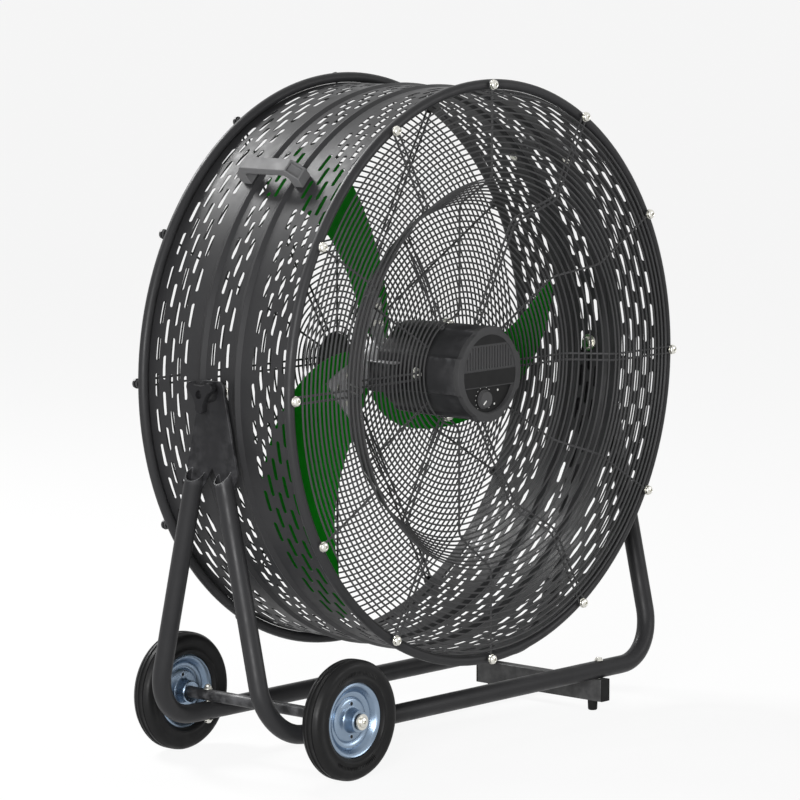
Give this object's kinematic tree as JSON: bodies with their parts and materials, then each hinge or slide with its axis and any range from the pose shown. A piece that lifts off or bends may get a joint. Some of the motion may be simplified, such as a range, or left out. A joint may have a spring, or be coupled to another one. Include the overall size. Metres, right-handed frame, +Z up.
{
  "type": "drum fan",
  "caption": "Large round drum fan with wire guards, sickle blades and a central motor, tilting in a tube stand with wheels and a foot bar.",
  "frame": {"origin": "on the floor, below the centre of the drum", "axes": "+Z up; the drum axis is parallel to Y with the control side facing -Y; the tilt axis and the wheeled stand run along X, wheels at -X"},
  "size_m": [1.0606, 0.4586, 1.1386],
  "materials": {
    "drum_paint": "satin powder coat, dark grey",
    "guard_wire": "satin powder coat on wire",
    "blade_paint": "satin green paint on sheet",
    "motor_shell": "cast shell, satin black paint",
    "motor_plastic": "matte, dark",
    "face_panel": "satin black",
    "grip_plastic": "matte, mid grey",
    "knob_plastic": "fine grain, dark",
    "tyre_rubber": "matte black",
    "foot_rubber": "matte black",
    "wheel_zinc": "blue zinc plating",
    "fastener_steel": "bright zinc plating",
    "hub_steel": "bare pressed steel, dull",
    "stand_paint": "satin powder coat, dark grey"
  },
  "bodies": {
    "stand": {"axle": "stand_paint", "foot_bar": "stand_paint", "front_axle_bolt": "fastener_steel", "front_axle_clamp_bolt": "fastener_steel", "front_foot": "foot_rubber", "front_foot_bar_bolt": "fastener_steel", "front_stand_tube": "stand_paint", "left_pivot_spacer": "foot_rubber", "left_side_plate": "stand_paint", "rear_axle_bolt": "fastener_steel", "rear_axle_clamp_bolt": "fastener_steel", "rear_foot": "foot_rubber", "rear_foot_bar_bolt": "fastener_steel", "rear_stand_tube": "stand_paint", "right_pivot_spacer": "foot_rubber", "right_side_plate": "stand_paint"},
    "drum": {"dial_panel": "face_panel", "drum_shell": "drum_paint", "front_guard": "guard_wire", "front_rim_tube": "drum_paint", "left_handle": "grip_plastic", "left_handle_front_screw": "fastener_steel", "left_handle_rear_screw": "fastener_steel", "left_pivot_bolt": "fastener_steel", "motor_bolt_1": "fastener_steel", "motor_bolt_2": "fastener_steel", "motor_bolt_3": "fastener_steel", "motor_bolt_4": "fastener_steel", "motor_end_cap": "motor_plastic", "motor_housing": "motor_shell", "rating_label": "face_panel", "rear_guard": "guard_wire", "rear_guard_plate": "drum_paint", "rear_rim_tube": "drum_paint", "right_handle": "grip_plastic", "right_handle_front_screw": "fastener_steel", "right_handle_rear_screw": "fastener_steel", "right_pivot_bolt": "fastener_steel", "terminal_box": "motor_plastic"},
    "impeller": {"blade_1": "blade_paint", "blade_2": "blade_paint", "blade_3": "blade_paint", "impeller_hub": "hub_steel", "motor_shaft": "fastener_steel"},
    "dial": {"speed_dial": "knob_plastic"},
    "front_wheel": {"front_tyre": "tyre_rubber", "front_wheel_rim": "wheel_zinc"},
    "rear_wheel": {"rear_tyre": "tyre_rubber", "rear_wheel_rim": "wheel_zinc"},
    "left_knob": {"left_clamp_knob": "knob_plastic"},
    "right_knob": {"right_clamp_knob": "knob_plastic"}
  },
  "joints": [
    {"name": "drum_tilt", "type": "hinge", "parent": "stand", "child": "drum", "pos_m": [0, 0, 0.63886], "axis": [1, 0, 0], "range_deg": [-45, 45]},
    {"name": "impeller_spin", "type": "hinge", "parent": "drum", "child": "impeller", "pos_m": [0, 0, 0.63886], "axis": [0, 1, 0], "continuous": true},
    {"name": "dial_turn", "type": "hinge", "parent": "drum", "child": "dial", "pos_m": [-0.009, -0.17, 0.59586], "axis": [0, 1, 0], "range_deg": [0, 270]},
    {"name": "front_wheel_spin", "type": "hinge", "parent": "stand", "child": "front_wheel", "pos_m": [-0.378, -0.194, 0.101], "axis": [0, 1, 0], "continuous": true},
    {"name": "rear_wheel_spin", "type": "hinge", "parent": "stand", "child": "rear_wheel", "pos_m": [-0.378, 0.194, 0.101], "axis": [0, 1, 0], "continuous": true},
    {"name": "left_knob_turn", "type": "hinge", "parent": "stand", "child": "left_knob", "pos_m": [-0.52, 0, 0.63886], "axis": [1, 0, 0], "continuous": true},
    {"name": "right_knob_turn", "type": "hinge", "parent": "stand", "child": "right_knob", "pos_m": [0.52, 0, 0.63886], "axis": [1, 0, 0], "continuous": true}
  ]
}
